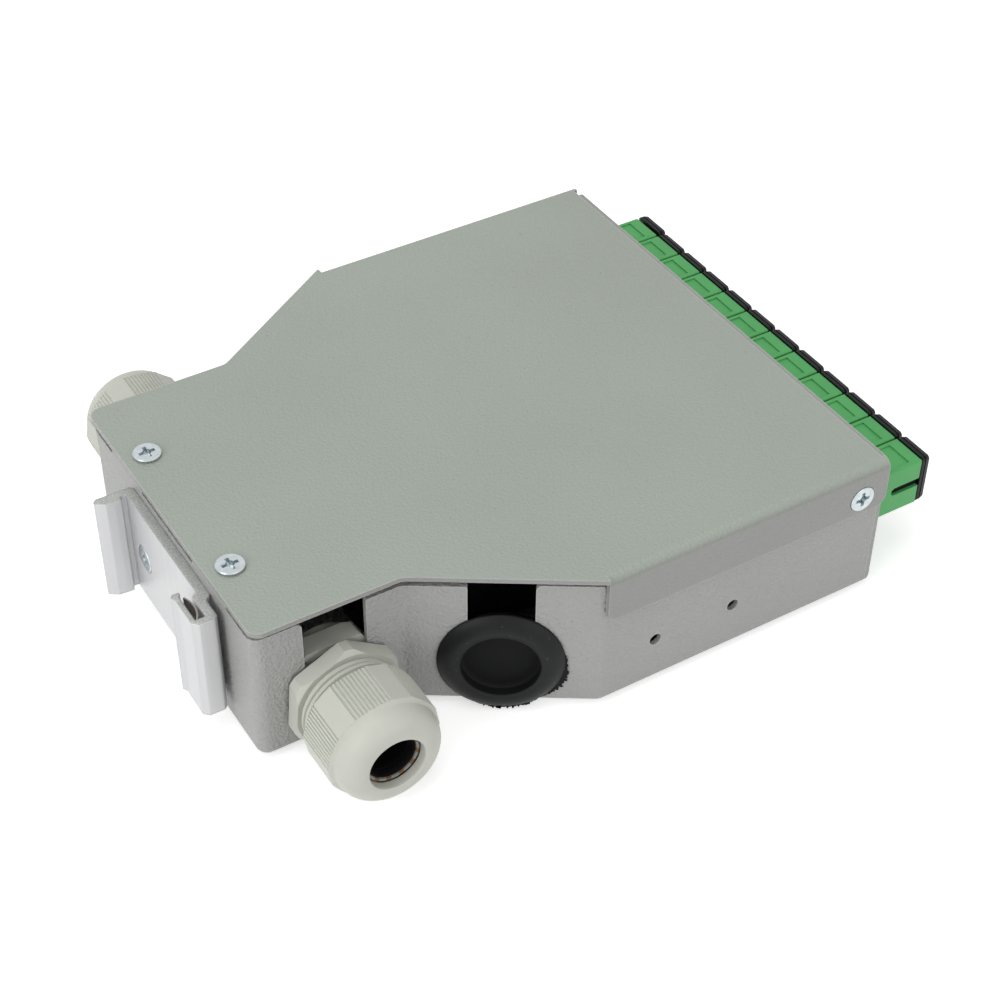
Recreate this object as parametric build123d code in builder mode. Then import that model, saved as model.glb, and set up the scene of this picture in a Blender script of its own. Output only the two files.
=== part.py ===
from build123d import *
from math import atan2, cos, sin
import os

# DIN rail fibre box: a folded steel case with a row of fibre adapters at the front.
# Millimetres. +X runs from the rail clip at the rear to the adapters at the front,
# +Z is up, and the origin is under the middle of the whole box, on the surface it stands on.

# Case
sheet = 1.2  # steel sheet
case_length = 146.3  # outer face of the rear wall to outer face of the front wall
narrow_half = 40.5  # half width at the rear, over the walls
row_margin = 5.0  # from the end of the row of adapters to the outside of the case
shoulder_start = 34.7  # where the walls begin to slant outwards
shoulder_end = 70.7  # where they run straight again
wall_height = 34.8
wall_dip = 0.7  # the walls are lower between the two cable entries
corner_r = 2.7  # folded upright corners at the rear
slant_fold_r = 3.0  # folds each side of the slanted walls
floor_fold_r = 1.8  # folds along the floor
seam = 0.5  # open corner seam beside the front wall
front_wall_height = 37.0
front_corner_r = 2.0
cutter = 20.0  # size of the blocks that trim the sheets, wider than what they take off

# Cover
cover_top = 38.0  # top face above the underside of the case
cover_rim = 1.5  # how far the cover stands out past the side walls
cover_rear_rim = 0.3
cover_front_gap = 0.7  # cover plate to front wall
cover_fold_r = 2.4
cover_corner_r = 3.0
cover_bend_r = 4.0  # hollow corners where the cover widens
lip_depth = 12.2
lip_front_gap = 1.0  # end of the lip behind the outer face of the front wall
lip_corner_r = 2.5

# Cover fixing
tab_depth = 12.0
tab_width = 16.0
tab_overlap = 3.0
top_screw_x = 5.2
top_screw_y = 21.0
side_screw_inset = 8.0  # from the outer face of the front wall
side_screw_z = 29.9
screw_r = 1.5
screw_play = 0.2
head_r = 3.2
head_rim = 0.4  # straight edge of the head, above its cone
head_round = 0.15
top_proud = 0.9  # how far the heads stand above the sheet
side_proud = 0.2
sink_play = 0.05
pilot_play = 0.6
cover_screw_length = 6.0
recess_width = 0.9
recess_span = 3.8
recess_depth = 1.1
recess_hub_r = 1.0
recess_taper = 12.0
nut_r = 3.0
nut_height = 2.4

# Fixing holes in the wide side walls
side_hole_x = 24.4  # middle of the pair, in front of the end of the slanted wall
side_hole_spacing = 20.8
side_hole_z = 12.3
side_hole_r = 1.5

# Cable entries: a round hole with an open neck above it
entry_height = 12.6  # centre of the holes above the underside of the case
entry_r = 10.2
entry_x = 18.9
gland_neck = 14.8
plug_neck = 14.4
neck_corner_r = 1.4
plug_along = 0.492  # place of the plug on the slanted wall, as a share of its length

# Cable gland
thread_r = 10.0
thread_inside = 9.0
washer = 0.6
washer_r = 11.6
hex_af = 24.0
hex_height = 4.0
hex_chamfer_r = 13.3
hex_bevel = 1.0
hex_turn = 85.0
dome_thread_r = 10.9  # thread that carries the dome nut
thread_outside = 14.5
gland_bore_r = 7.0
seal_seat_r = 8.0
seal_seat_start = 6.0
claw_end = 22.6
claw_tip_in_r = 6.4
claw_tip_out_r = 8.0
claw_count = 10
claw_gap = 1.1
claw_step = 0.4
seal_bore_r = 5.2
seal_end = 21.0
seal_play = 0.15
locknut_af = 22.6
locknut_height = 5.0
locknut_chamfer_r = 12.9
locknut_bevel = 0.8
locknut_pin_r = 0.6
locknut_pin_angle = 128.0

# Dome nut
nut_start = 9.0
nut_end = 26.0
nut_back_off = 4.0  # the far nut is screwed on less far than the near one
nut_af = 25.1
nut_round_r = 13.3
nut_dome_start = 18.6
nut_dome_r = 11.7
nut_mouth_r = 6.45
nut_lip_r = 6.9
thread_play = 0.1
nut_bore_end = 14.6
nut_cone_end = 22.9
nut_cone_r = 8.8
nut_shelf = 1.0
nut_turn = 10.0  # how far the nut's flats are turned from those of the hexagon, in degrees
rib_groove = 0.45
rib_count = 8
rib_pitch = 1.0
rib_length = 9.0

# Blanking plug
plug_flange_r = 13.9
plug_flange = 2.1
plug_edge = 0.5  # thickness at the rim
plug_swell_r = 12.5
plug_swell = 1.6
plug_crown_r = 9.5
plug_recess_r = 8.7
plug_floor_r = 7.9
plug_floor = -0.8  # outer face of its web
plug_web = 1.3
plug_play = 0.15
plug_inner_r = 11.2
plug_inner = 3.4
plug_seat = 0.05

# Rail clip: an extruded aluminium section
rail_width = 35.0
rail_lip = 1.0  # thickness of the rail's edge
clip_length = 27.1
clip_low = 6.05  # bottom end above the underside of the case
plate = 2.4
clip_bevel = 0.8
groove_y = 16.6  # floor of the hook's groove, where one edge of the rail seats
groove_depth = 1.2
groove_play = 0.2
groove_slope = 0.4
fin_thickness = 3.0
fin_reach = 9.6
fin_nose = 1.4  # flat end of the fin
fin_hollow = 0.2
fin_slope = 4.0
channel_depth = 8.5  # from the rail's other edge down to the channel's floor
channel_floor = 1.7
channel_out = 7.1
channel_wall = 1.1
channel_shelf = 2.0  # how far the channel's inner wall stands back from the rail's edge
channel_step = 3.7
channel_gap_to_case = 1.5
channel_bevel = 1.2
lip_nub = 0.5
lip_nose = 0.7
lip_ridge = 0.6
plate_foot = 2.9
leaf = 0.35
leaf_play = 0.2
leaf_bow = 1.3
leaf_rise = 0.5
leaf_short = 1.6
leaf_inset = 0.3
clip_screw_y = 10.2
clip_screw_pitch = 23.0
clip_screw_z = 19.0
clip_screw_length = 8.0
clip_proud = 0.1

# Adapters and dust caps
ports = 12
port_pitch = 9.75
adapter_gap = 0.45
adapter_height = 12.8
adapter_length = 28.6
adapter_out = 15.6
adapter_mid_z = 19.7
shoulder_height = 1.5
shoulder = 2.2
window_play = 0.2
port_wall = 0.9
port_height = 9.2
port_depth = 12.6
barrel_r = 2.3
barrel_length = 7.5
sleeve_r = 1.7
sleeve_bore_r = 1.25
sleeve_play = 0.1
key_width = 2.2
key_length = 7.0  # to the middle of its round inner end
adapter_edge_r = 0.4
panel_recess = 0.35
recess_end_rim = 2.9
recess_side_rim = 1.15
cap_seat = 0.25
last_cap_out = 0.6  # the last cap isn't pushed quite home
cap_flange = 2.2
cap_plate = 0.8
cap_groove = 0.3
cap_groove_depth = 0.4
cap_gap = 0.4
cap_height = 13.1
cap_corner_r = 0.9
cap_face_inset = 0.25
cap_lift = 0.15
cap_boss_play = 0.1
cap_boss_length = 8.5
cap_boss_bore_r = 2.7
cap_boss_bore = 8.0
stud_r = 1.5
stud_length = 8.0
stud_inset = 13.5
stud_up = 10.3
stud_down = 10.7
retainer_rim = 7.0
retainer = 1.2
retainer_play = 1.0
stud_nut_af = 5.5
sleeve_lip = 0.5
sleeve_lip_r = 1.45

# Splice tray
tray_x = 34.0
tray_length = 64.0
tray_half = 35.0
tray_depth = 11.0
tray_wall = 1.5
tray_corner_r = 14.0
tray_gap = 10.0  # openings in its end walls where fibres pass
tray_gap_y = 15.0
tray_lid = 1.2
spacer = 4.0
spacer_r = 3.2
spacer_inset = 8.0
tray_screw_play = 0.2
tray_screw_head = 1.6
tray_head_r = 2.7
holder_length = 38.0
holder_width = 26.0
holder_base = 1.2
holder_fin = 1.0
holder_height = 6.0
holder_fins = 7

# Sizes and places worked out from the sizes above
wide_half = ports * port_pitch / 2 + row_margin  # half width at the front, over the walls
adapter_width = port_pitch - adapter_gap
port_width = adapter_width - 2 * port_wall
cap_width = port_pitch - cap_gap
stud_spread = wide_half - stud_inset
side_screw_x = case_length - side_screw_inset
base_z = plug_flange_r - entry_height  # the case stands on the rims of its blanking plugs
front_reach = case_length + adapter_out + cap_seat + last_cap_out + cap_flange
rear_x = (fin_reach - front_reach) / 2
front_x = rear_x + case_length
floor_z = base_z + sheet
entry_z = base_z + entry_height
cover_under = base_z + cover_top - sheet
adapter_z = base_z + adapter_mid_z
slant = atan2(wide_half - narrow_half, shoulder_end - shoulder_start)
plug_x = rear_x + shoulder_start + plug_along * (shoulder_end - shoulder_start)
plug_y = narrow_half + plug_along * (wide_half - narrow_half)
sides = {"near": -1, "far": 1}
nut_offs = {"near": 0.0, "far": nut_back_off}
middle_y = nut_back_off / 2  # the far nut reaches further out, so the middle of the whole lies here
window_width = (ports - 1) * port_pitch + adapter_width + 2 * window_play
stud_places = [
    (-stud_spread, adapter_z + stud_up),
    (stud_spread, adapter_z + stud_up),
    (-stud_spread, adapter_z - stud_down),
    (stud_spread, adapter_z - stud_down),
]


def save(piece, name):
    # The case is drawn about its own middle and stored about the middle of the whole box.
    shape = piece.part.moved(Location((0, -middle_y, 0)))
    shape.label = name
    export_step(shape, "parts/" + name + ".step")


def wall_plane(x, y, angle, side):
    # Sketch plane on the outside of a wall: its normal points out and its y is up.
    out = Vector(-sin(angle), side * cos(angle), 0)
    return Plane(origin=(x, side * y, entry_z), x_dir=(-out.Y, out.X, 0), z_dir=out)


def profile_plane(wall):
    # Plane through a hole's axis: its x is the radius and its y runs out along the axis.
    return Plane(origin=wall.origin, x_dir=(0, 0, 1), z_dir=Vector(0, 0, 1).cross(wall.z_dir))


def gland_wall(side):
    return wall_plane(rear_x + entry_x, narrow_half, 0, side)


def plug_wall(side):
    return wall_plane(plug_x, plug_y, slant, side)


def port_y(number):
    return (number - (ports - 1) / 2) * port_pitch


def entry_cut(neck):
    # Keyhole outline of a cable entry, with its neck open at the top of the wall.
    top = wall_height - entry_height
    Circle(entry_r)
    with Locations((0, top)):
        Rectangle(neck, 2 * top)
    with Locations((0, top + neck_corner_r)):
        Rectangle(neck + 4 * neck_corner_r, 2 * neck_corner_r)


def neck_corners(sketch, neck):
    # Corners where a neck runs out at the top of the wall.
    top = wall_height - entry_height
    return sketch.vertices().filter_by(
        lambda v: abs(v.Y - top) < neck_corner_r / 2 and abs(v.X) < neck / 2 + neck_corner_r / 2
    )


def sink_r(proud):
    # Radius at the surface of the countersink that carries a head standing proud.
    return head_r + head_rim - proud + sink_play


def screw_seats(x, height, side, top):
    # Plane at the outer end of one of the cover's screw holes, with its normal pointing out.
    if top:
        return Plane(origin=(x, side * top_screw_y, height), x_dir=(1, 0, 0), z_dir=(0, 0, 1))
    lip = wall_plane(x, cover_half, 0, side)
    return Plane(origin=(x, side * cover_half, height), x_dir=lip.x_dir, z_dir=lip.z_dir)


cover_half = wide_half + cover_rim
top_seats = [
    screw_seats(rear_x + top_screw_x, cover_under + sheet, side, True)
    for side in sides.values()
]
lip_seats = [
    screw_seats(rear_x + side_screw_x, base_z + side_screw_z, side, False)
    for side in sides.values()
]

# Plan of the case walls, shared by the base and the cover
case_points = [
    (rear_x, narrow_half),
    (rear_x + shoulder_start, narrow_half),
    (rear_x + shoulder_end, wide_half),
    (front_x, wide_half),
    (front_x, -wide_half),
    (rear_x + shoulder_end, -wide_half),
    (rear_x + shoulder_start, -narrow_half),
    (rear_x, -narrow_half),
]

with BuildSketch() as case_plan:
    Polygon(*case_points, align=None)
    fillet(case_plan.vertices().group_by(Axis.X)[0], corner_r)
    folds = case_plan.vertices().filter_by(
        lambda v: rear_x + shoulder_start - sheet < v.X < rear_x + shoulder_end + sheet
    )
    fillet(folds, slant_fold_r)

with BuildSketch() as inner_plan:
    add(case_plan.sketch)
    offset(amount=-sheet, mode=Mode.REPLACE)

# Base tray, folded from one sheet
seam_x = front_x - sheet - seam
with BuildPart() as base_tray:
    with BuildSketch(Plane.XY.offset(base_z)):
        add(case_plan.sketch)
    extrude(amount=wall_height)
    fillet(base_tray.faces().sort_by(Axis.Z)[0].edges(), floor_fold_r)
    with BuildSketch(Plane.XY.offset(floor_z)):
        add(inner_plan.sketch)
    extrude(amount=wall_height, mode=Mode.SUBTRACT)
    # Taller front wall
    front_half = wide_half - sheet / 2
    with BuildSketch(Plane.YZ.offset(front_x - sheet)) as front_sketch:
        with Locations((0, base_z + front_wall_height / 2)):
            Rectangle(2 * front_half, front_wall_height - 2 * floor_fold_r)
        with Locations((0, base_z + front_wall_height - floor_fold_r)):
            Rectangle(2 * front_half, 2 * floor_fold_r)
        fillet(front_sketch.vertices().group_by(Axis.Y)[-1], front_corner_r)
    extrude(amount=sheet)
    # Open seams and corner reliefs beside the front wall
    with Locations(
        (seam_x + cutter / 2, front_half + cutter / 2, base_z + wall_height / 2),
        (seam_x + cutter / 2, -front_half - cutter / 2, base_z + wall_height / 2),
    ):
        Box(cutter, cutter, wall_height + cutter, mode=Mode.SUBTRACT)
    with Locations(
        (seam_x + seam / 2, wide_half - sheet, floor_z + wall_height / 2),
        (seam_x + seam / 2, sheet - wide_half, floor_z + wall_height / 2),
    ):
        Box(seam, 2 * sheet, wall_height, mode=Mode.SUBTRACT)
    # Tabs folded inwards from the rear wall, under the cover
    for side in sides.values():
        with BuildSketch(Plane.XZ.offset(-side * top_screw_y - tab_width / 2)) as tab_sketch:
            with BuildLine():
                Polyline(
                    (rear_x, base_z + wall_height - tab_overlap),
                    (rear_x, cover_under),
                    (rear_x + tab_depth, cover_under),
                    (rear_x + tab_depth, cover_under - sheet),
                    (rear_x + sheet, cover_under - sheet),
                    (rear_x + sheet, base_z + wall_height - tab_overlap),
                    close=True,
                )
            make_face()
            fillet(tab_sketch.vertices().group_by(Axis.Y)[-1].sort_by(Axis.X)[0], floor_fold_r)
        extrude(amount=tab_width)
    # Holes for the cover screws
    with Locations(*[seat.location for seat in top_seats + lip_seats]):
        Hole(screw_r + pilot_play, depth=cover_screw_length)
    for side in sides.values():
        # Cable entries: one for a gland, one closed by a plug
        with BuildSketch(gland_wall(side)) as gland_entry:
            entry_cut(gland_neck)
            fillet(neck_corners(gland_entry, gland_neck), neck_corner_r)
        extrude(amount=2 * sheet, both=True, mode=Mode.SUBTRACT)
        with BuildSketch(plug_wall(side)) as plug_entry:
            entry_cut(plug_neck)
            fillet(neck_corners(plug_entry, plug_neck), neck_corner_r)
        extrude(amount=2 * sheet, both=True, mode=Mode.SUBTRACT)
    # Lower edge of the walls between the cable entries
    with BuildSketch(Plane.XZ):
        with Locations(((rear_x + entry_x + plug_x) / 2, base_z + wall_height)):
            Rectangle(plug_x - rear_x - entry_x, 2 * wall_dip)
    extrude(amount=2 * wide_half, both=True, mode=Mode.SUBTRACT)
    # Holes for the rail clip's screws
    with BuildSketch(Plane.YZ.offset(rear_x)):
        for y in (clip_screw_y, clip_screw_y - clip_screw_pitch):
            with Locations((y, base_z + clip_screw_z)):
                Circle(screw_r + screw_play)
    extrude(amount=2 * sheet, both=True, mode=Mode.SUBTRACT)
    # Small fixing holes in the wide side walls
    with BuildSketch(Plane.XZ) as fixing_holes:
        with Locations((rear_x + shoulder_end + side_hole_x, base_z + side_hole_z)):
            with GridLocations(side_hole_spacing, 1, 2, 1):
                Circle(side_hole_r)
    extrude(amount=wide_half + sheet, both=True, mode=Mode.SUBTRACT)
    # Window for the row of adapters, and studs for the plate that holds them
    with BuildSketch(Plane.YZ.offset(front_x - sheet)):
        with Locations((0, adapter_z)):
            Rectangle(window_width, adapter_height + 2 * window_play)
    extrude(amount=2 * sheet, both=True, mode=Mode.SUBTRACT)
    with BuildSketch(Plane.YZ.offset(front_x - sheet)):
        with Locations(*stud_places):
            Circle(stud_r)
    extrude(amount=-stud_length)
save(base_tray, "base_tray")

# Top cover: a flat plate with a folded lip along each wide side
cover_end = front_x - sheet - cover_front_gap
lip_start = rear_x + shoulder_end
lip_end = front_x - lip_front_gap
with BuildPart() as top_cover:
    with BuildSketch(Plane.XY.offset(cover_under)) as cover_plan:
        Polygon(*case_points, align=None)
        offset(amount=cover_rim, kind=Kind.INTERSECTION, mode=Mode.REPLACE)
        with Locations(((rear_x - cover_rear_rim - cutter / 2, 0), (cover_end + cutter / 2, 0))):
            Rectangle(cutter, 4 * wide_half, mode=Mode.SUBTRACT)
        fillet(cover_plan.vertices().group_by(Axis.X)[0], cover_corner_r)
        bends = cover_plan.vertices().filter_by(
            lambda v: abs(abs(v.Y) - narrow_half - cover_rim) < sheet
            and v.X > rear_x + cover_corner_r + sheet
        )
        fillet(bends, cover_bend_r)
        for side in sides.values():
            cutter_y = side * (cover_half - cover_fold_r + cutter / 2)
            with Locations((lip_start + case_length / 2, cutter_y)):
                Rectangle(case_length, cutter, mode=Mode.SUBTRACT)
    extrude(amount=sheet)
    for side in sides.values():
        edge_y = side * cover_half
        flat_y = side * (cover_half - cover_fold_r)
        inner_y = side * (cover_half - sheet)
        inner_fold = cover_fold_r - sheet
        top = cover_under + sheet
        with BuildSketch(Plane.YZ.offset(lip_start)):
            with BuildLine():
                Line((flat_y, top), (flat_y, cover_under))
                RadiusArc((flat_y, cover_under), (inner_y, cover_under - inner_fold), side * inner_fold)
                Line((inner_y, cover_under - inner_fold), (inner_y, top - lip_depth))
                Line((inner_y, top - lip_depth), (edge_y, top - lip_depth))
                Line((edge_y, top - lip_depth), (edge_y, top - cover_fold_r))
                RadiusArc((edge_y, top - cover_fold_r), (flat_y, top), -side * cover_fold_r)
            make_face()
        extrude(amount=lip_end - lip_start)
    lip_bottoms = top_cover.edges().filter_by(Axis.Y).group_by(Axis.Z)[0]
    fillet(lip_bottoms, lip_corner_r)
    for seats, proud in ((top_seats, top_proud), (lip_seats, side_proud)):
        with Locations(*[seat.location for seat in seats]):
            CounterSinkHole(screw_r + screw_play, sink_r(proud), depth=2 * sheet, counter_sink_angle=90)
save(top_cover, "top_cover")


def flat_screw(length):
    # Flat-headed screw along Z, with the top of its head at height zero and a cross recess.
    cone_end = -head_rim - (head_r - screw_r)
    with BuildPart() as screw:
        with BuildSketch(Plane.XZ):
            with BuildLine():
                Polyline(
                    (0, 0),
                    (head_r - head_round, 0),
                    (head_r, -head_round),
                    (head_r, -head_rim),
                    (screw_r, cone_end),
                    (screw_r, -length),
                    (0, -length),
                    close=True,
                )
            make_face()
        revolve(axis=Axis.Z)
        with BuildSketch():
            Rectangle(recess_span, recess_width)
            Rectangle(recess_width, recess_span)
            Circle(recess_hub_r)
        extrude(amount=-recess_depth, taper=recess_taper, mode=Mode.SUBTRACT)
    return screw.part


def round_nut():
    # Round press nut that stands on height zero.
    with BuildPart() as nut:
        Cylinder(nut_r, nut_height, align=(Align.CENTER, Align.CENTER, Align.MIN))
        Hole(screw_r)
    return nut.part


# Cover screws: two on top near the rear, one in each lip
short_screw = flat_screw(cover_screw_length)
with BuildPart() as cover_screws:
    with Locations(*[seat.offset(top_proud).location for seat in top_seats]):
        add(short_screw)
    with Locations(*[seat.offset(side_proud).location for seat in lip_seats]):
        add(short_screw)
save(cover_screws, "cover_screws")

# Press nuts for the cover screws, under the rear tabs and inside the side walls
press_nut = round_nut()
with BuildPart() as cover_nuts:
    with Locations(*[seat.offset(-2 * sheet - nut_height).location for seat in top_seats]):
        add(press_nut)
    with Locations(*[seat.offset(-cover_rim - sheet - nut_height).location for seat in lip_seats]):
        add(press_nut)
save(cover_nuts, "cover_nuts")


def gland(side, suffix):
    wall = gland_wall(side)
    radial = profile_plane(wall)
    axis = Axis(wall.origin, wall.z_dir)
    hex_end = washer + hex_height
    claw_root_in = seal_seat_r + seal_play
    nut_off = nut_offs[suffix]
    nut_wall = wall.offset(nut_off)
    nut_radial = profile_plane(nut_wall)

    # Body: threaded tube with a hexagon flange and slit claws around its mouth
    with BuildPart() as body:
        with BuildSketch(wall.offset(washer)):
            RegularPolygon(hex_af / 2, 6, major_radius=False, rotation=hex_turn)
        extrude(amount=hex_height)
        with BuildSketch(radial):
            with BuildLine():
                Polyline(
                    (0, washer),
                    (hex_chamfer_r, washer),
                    (hex_chamfer_r, hex_end - hex_bevel),
                    (hex_chamfer_r - hex_bevel, hex_end),
                    (0, hex_end),
                    close=True,
                )
            make_face()
        revolve(axis=axis, mode=Mode.INTERSECT)
        with BuildSketch(wall.offset(-thread_inside)):
            Circle(thread_r)
        extrude(amount=thread_inside + washer)
        with BuildSketch(wall.offset(hex_end)):
            Circle(dome_thread_r)
        extrude(amount=thread_outside - hex_end)
        with BuildSketch(radial):
            with BuildLine():
                Polyline(
                    (claw_root_in, thread_outside),
                    (dome_thread_r - claw_step, thread_outside),
                    (claw_tip_out_r, claw_end),
                    (claw_tip_in_r, claw_end),
                    close=True,
                )
            make_face()
        revolve(axis=axis)
        with BuildSketch(wall.offset(-thread_inside)):
            Circle(gland_bore_r)
        extrude(amount=thread_inside + seal_seat_start, mode=Mode.SUBTRACT)
        with BuildSketch(wall.offset(seal_seat_start)):
            Circle(seal_seat_r)
        extrude(amount=thread_outside - seal_seat_start, mode=Mode.SUBTRACT)
        with BuildSketch(wall.offset(thread_outside + claw_step)):
            with PolarLocations(0, claw_count):
                with Locations((thread_r, 0)):
                    Rectangle(2 * thread_r, claw_gap)
        extrude(amount=claw_end - thread_outside, mode=Mode.SUBTRACT)
    save(body, "gland_body_" + suffix)

    # Flat sealing washer between the hexagon and the case wall
    with BuildPart() as flat_washer:
        with BuildSketch(wall):
            Circle(washer_r)
            Circle(thread_r + screw_play, mode=Mode.SUBTRACT)
        extrude(amount=washer)
    save(flat_washer, "gland_washer_" + suffix)

    # Locknut inside the case
    with BuildPart() as locknut:
        with BuildSketch(wall.offset(-sheet)):
            RegularPolygon(locknut_af / 2, 6, major_radius=False)
        extrude(amount=-locknut_height)
        with BuildSketch(radial):
            with BuildLine():
                Polyline(
                    (0, -sheet),
                    (locknut_chamfer_r, -sheet),
                    (locknut_chamfer_r, locknut_bevel - sheet - locknut_height),
                    (locknut_chamfer_r - locknut_bevel, -sheet - locknut_height),
                    (0, -sheet - locknut_height),
                    close=True,
                )
            make_face()
        revolve(axis=axis, mode=Mode.INTERSECT)
        with BuildSketch(wall.offset(-sheet)):
            Circle(thread_r + thread_play)
        extrude(amount=-locknut_height, mode=Mode.SUBTRACT)
        with BuildSketch(wall.offset(-sheet)):
            with PolarLocations((thread_r + locknut_chamfer_r) / 2, 1, start_angle=locknut_pin_angle):
                Circle(locknut_pin_r)
        extrude(amount=-locknut_pin_r, mode=Mode.SUBTRACT)
    save(locknut, "gland_locknut_" + suffix)

    # Rubber seal inside the claws
    with BuildPart() as seal:
        with BuildSketch(radial):
            with BuildLine():
                Polyline(
                    (seal_bore_r, seal_seat_start),
                    (seal_seat_r - seal_play, seal_seat_start),
                    (seal_seat_r - seal_play, thread_outside),
                    (claw_tip_in_r, seal_end),
                    (seal_bore_r, seal_end),
                    close=True,
                )
            make_face()
        revolve(axis=axis)
    save(seal, "gland_seal_" + suffix)

    # Dome nut: six ribbed flats with smooth rounded corners between them, and a rounded mouth
    with BuildPart() as nut:
        with BuildSketch(nut_radial):
            with BuildLine():
                Line((dome_thread_r + thread_play, nut_start), (nut_round_r, nut_start))
                Line((nut_round_r, nut_start), (nut_round_r, nut_dome_start))
                ThreePointArc(
                    (nut_round_r, nut_dome_start),
                    (nut_dome_r, (nut_dome_start + 2 * nut_end) / 3),
                    (nut_lip_r, nut_end),
                )
                Polyline(
                    (nut_lip_r, nut_end),
                    (nut_mouth_r, nut_end + nut_mouth_r - nut_lip_r),
                    (nut_mouth_r, nut_cone_end + nut_shelf),
                    (nut_cone_r, nut_cone_end),
                    (dome_thread_r + thread_play, nut_bore_end),
                    (dome_thread_r + thread_play, nut_start),
                )
            make_face()
        revolve(axis=axis)
        with BuildSketch(nut_wall.offset(nut_start)):
            RegularPolygon(nut_af / 2, 6, major_radius=False, rotation=nut_turn)
        extrude(amount=nut_end - nut_start, mode=Mode.INTERSECT)
        with BuildSketch(nut_wall.offset(nut_start)):
            with PolarLocations(nut_af / 2, 6, start_angle=30 + nut_turn):
                with GridLocations(1, rib_pitch, 1, rib_count):
                    Rectangle(2 * rib_groove, rib_groove)
        extrude(amount=rib_length, mode=Mode.SUBTRACT)
    save(nut, "gland_dome_nut_" + suffix)


def blanking_plug(side, suffix):
    wall = plug_wall(side)
    neck_r = entry_r - plug_play
    inner_face = -sheet - plug_seat
    with BuildPart() as plug:
        with BuildSketch(profile_plane(wall)):
            with BuildLine():
                Polyline(
                    (0, plug_floor),
                    (plug_floor_r, plug_floor),
                    (plug_recess_r, 0),
                    (plug_recess_r, plug_flange),
                    (plug_crown_r, plug_flange),
                )
                ThreePointArc(
                    (plug_crown_r, plug_flange),
                    (plug_swell_r, plug_swell),
                    (plug_flange_r, plug_edge),
                )
                Polyline(
                    (plug_flange_r, plug_edge),
                    (plug_flange_r, plug_seat),
                    (neck_r, plug_seat),
                    (neck_r, inner_face),
                    (plug_inner_r, inner_face),
                    (neck_r, inner_face - plug_inner),
                    (plug_floor_r, inner_face - plug_inner),
                    (plug_floor_r, plug_floor - plug_web),
                    (0, plug_floor - plug_web),
                    (0, plug_floor),
                )
            make_face()
        revolve(axis=Axis(wall.origin, wall.z_dir))
    save(plug, "blanking_plug_" + suffix)


for name, side in sides.items():
    gland(side, name)
    blanking_plug(side, name)

# Rail clip: one extruded section with a hook at the far end and a spring channel at the near end
clip_x = rear_x
clip_z = base_z + clip_low
rail_edge_y = groove_y - rail_width
channel_lip_y = rail_edge_y + lip_nose
channel_floor_y = rail_edge_y - channel_depth
channel_end_y = channel_floor_y - channel_floor
channel_inner_x = clip_x - channel_out + channel_wall
hook_y = groove_y - groove_depth
fin_end = clip_x - fin_reach
groove_x = clip_x - plate - rail_lip - groove_play
clip_seats = [
    Plane(origin=(rear_x - plate, y, base_z + clip_screw_z), x_dir=(0, 1, 0), z_dir=(-1, 0, 0))
    for y in (clip_screw_y, clip_screw_y - clip_screw_pitch)
]
fin_far_y = hook_y + fin_thickness
with BuildPart() as din_clip:
    with BuildSketch(Plane.XY.offset(clip_z)) as section:
        with BuildLine():
            Polyline(
                (clip_x, fin_far_y - clip_bevel),
                (clip_x - clip_bevel, fin_far_y),
                (fin_end + clip_bevel, fin_far_y),
                (fin_end, fin_far_y - fin_nose / 2),
                (fin_end, fin_far_y - fin_nose),
                (fin_end + fin_slope / 2, hook_y + fin_hollow),
                (fin_end + fin_slope, hook_y),
                (groove_x - groove_slope, hook_y),
                (groove_x, groove_y),
                (clip_x - plate, groove_y),
                (clip_x - plate, rail_edge_y - channel_shelf / 2),
                (clip_x - channel_step, rail_edge_y - channel_shelf),
                (clip_x - channel_step, channel_floor_y),
                (channel_inner_x, channel_floor_y),
                (channel_inner_x, rail_edge_y - lip_nub),
                (channel_inner_x + lip_nub, rail_edge_y),
                (channel_inner_x + lip_nub, channel_lip_y),
                (clip_x - channel_out, channel_lip_y),
                (clip_x - channel_out - lip_ridge, channel_lip_y - clip_bevel),
                (clip_x - channel_out, rail_edge_y - channel_bevel),
                (clip_x - channel_out, channel_end_y + channel_bevel),
                (clip_x - channel_out + channel_bevel, channel_end_y),
                (clip_x - channel_gap_to_case - clip_bevel, channel_end_y),
                (clip_x - channel_gap_to_case, channel_end_y + clip_bevel),
                (clip_x - channel_gap_to_case, rail_edge_y - plate_foot - channel_gap_to_case),
                (clip_x, rail_edge_y - plate_foot),
                close=True,
            )
        make_face()
    extrude(amount=clip_length)
    with Locations(*[seat.location for seat in clip_seats]):
        CounterSinkHole(screw_r + screw_play, sink_r(clip_proud), depth=2 * plate, counter_sink_angle=90)
save(din_clip, "din_clip")

# Screws that hold the clip to the rear wall, with their nuts inside
long_screw = flat_screw(clip_screw_length)
with BuildPart() as clip_screws:
    with Locations(*[seat.offset(clip_proud).location for seat in clip_seats]):
        add(long_screw)
save(clip_screws, "clip_screws")

with BuildPart() as clip_nuts:
    with Locations(*[seat.offset(-plate - sheet - nut_height).location for seat in clip_seats]):
        add(press_nut)
save(clip_nuts, "clip_nuts")

# Leaf spring in the channel, rooted at the channel's floor and bowed towards the case
leaf_root = (channel_inner_x + leaf_play, channel_floor_y + leaf_play)
leaf_crest = (leaf_root[0] + leaf_bow, (channel_floor_y + channel_lip_y) / 2)
leaf_tip = (leaf_root[0] + leaf_rise, channel_lip_y - leaf_short)
with BuildPart() as leaf_spring:
    with BuildSketch(Plane.XY.offset(clip_z + leaf_inset)):
        with BuildLine() as bow:
            ThreePointArc(leaf_root, leaf_crest, leaf_tip)
            offset(amount=leaf, side=Side.RIGHT)
        make_face()
    extrude(amount=clip_length - 2 * leaf_inset)
save(leaf_spring, "clip_leaf_spring")

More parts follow.
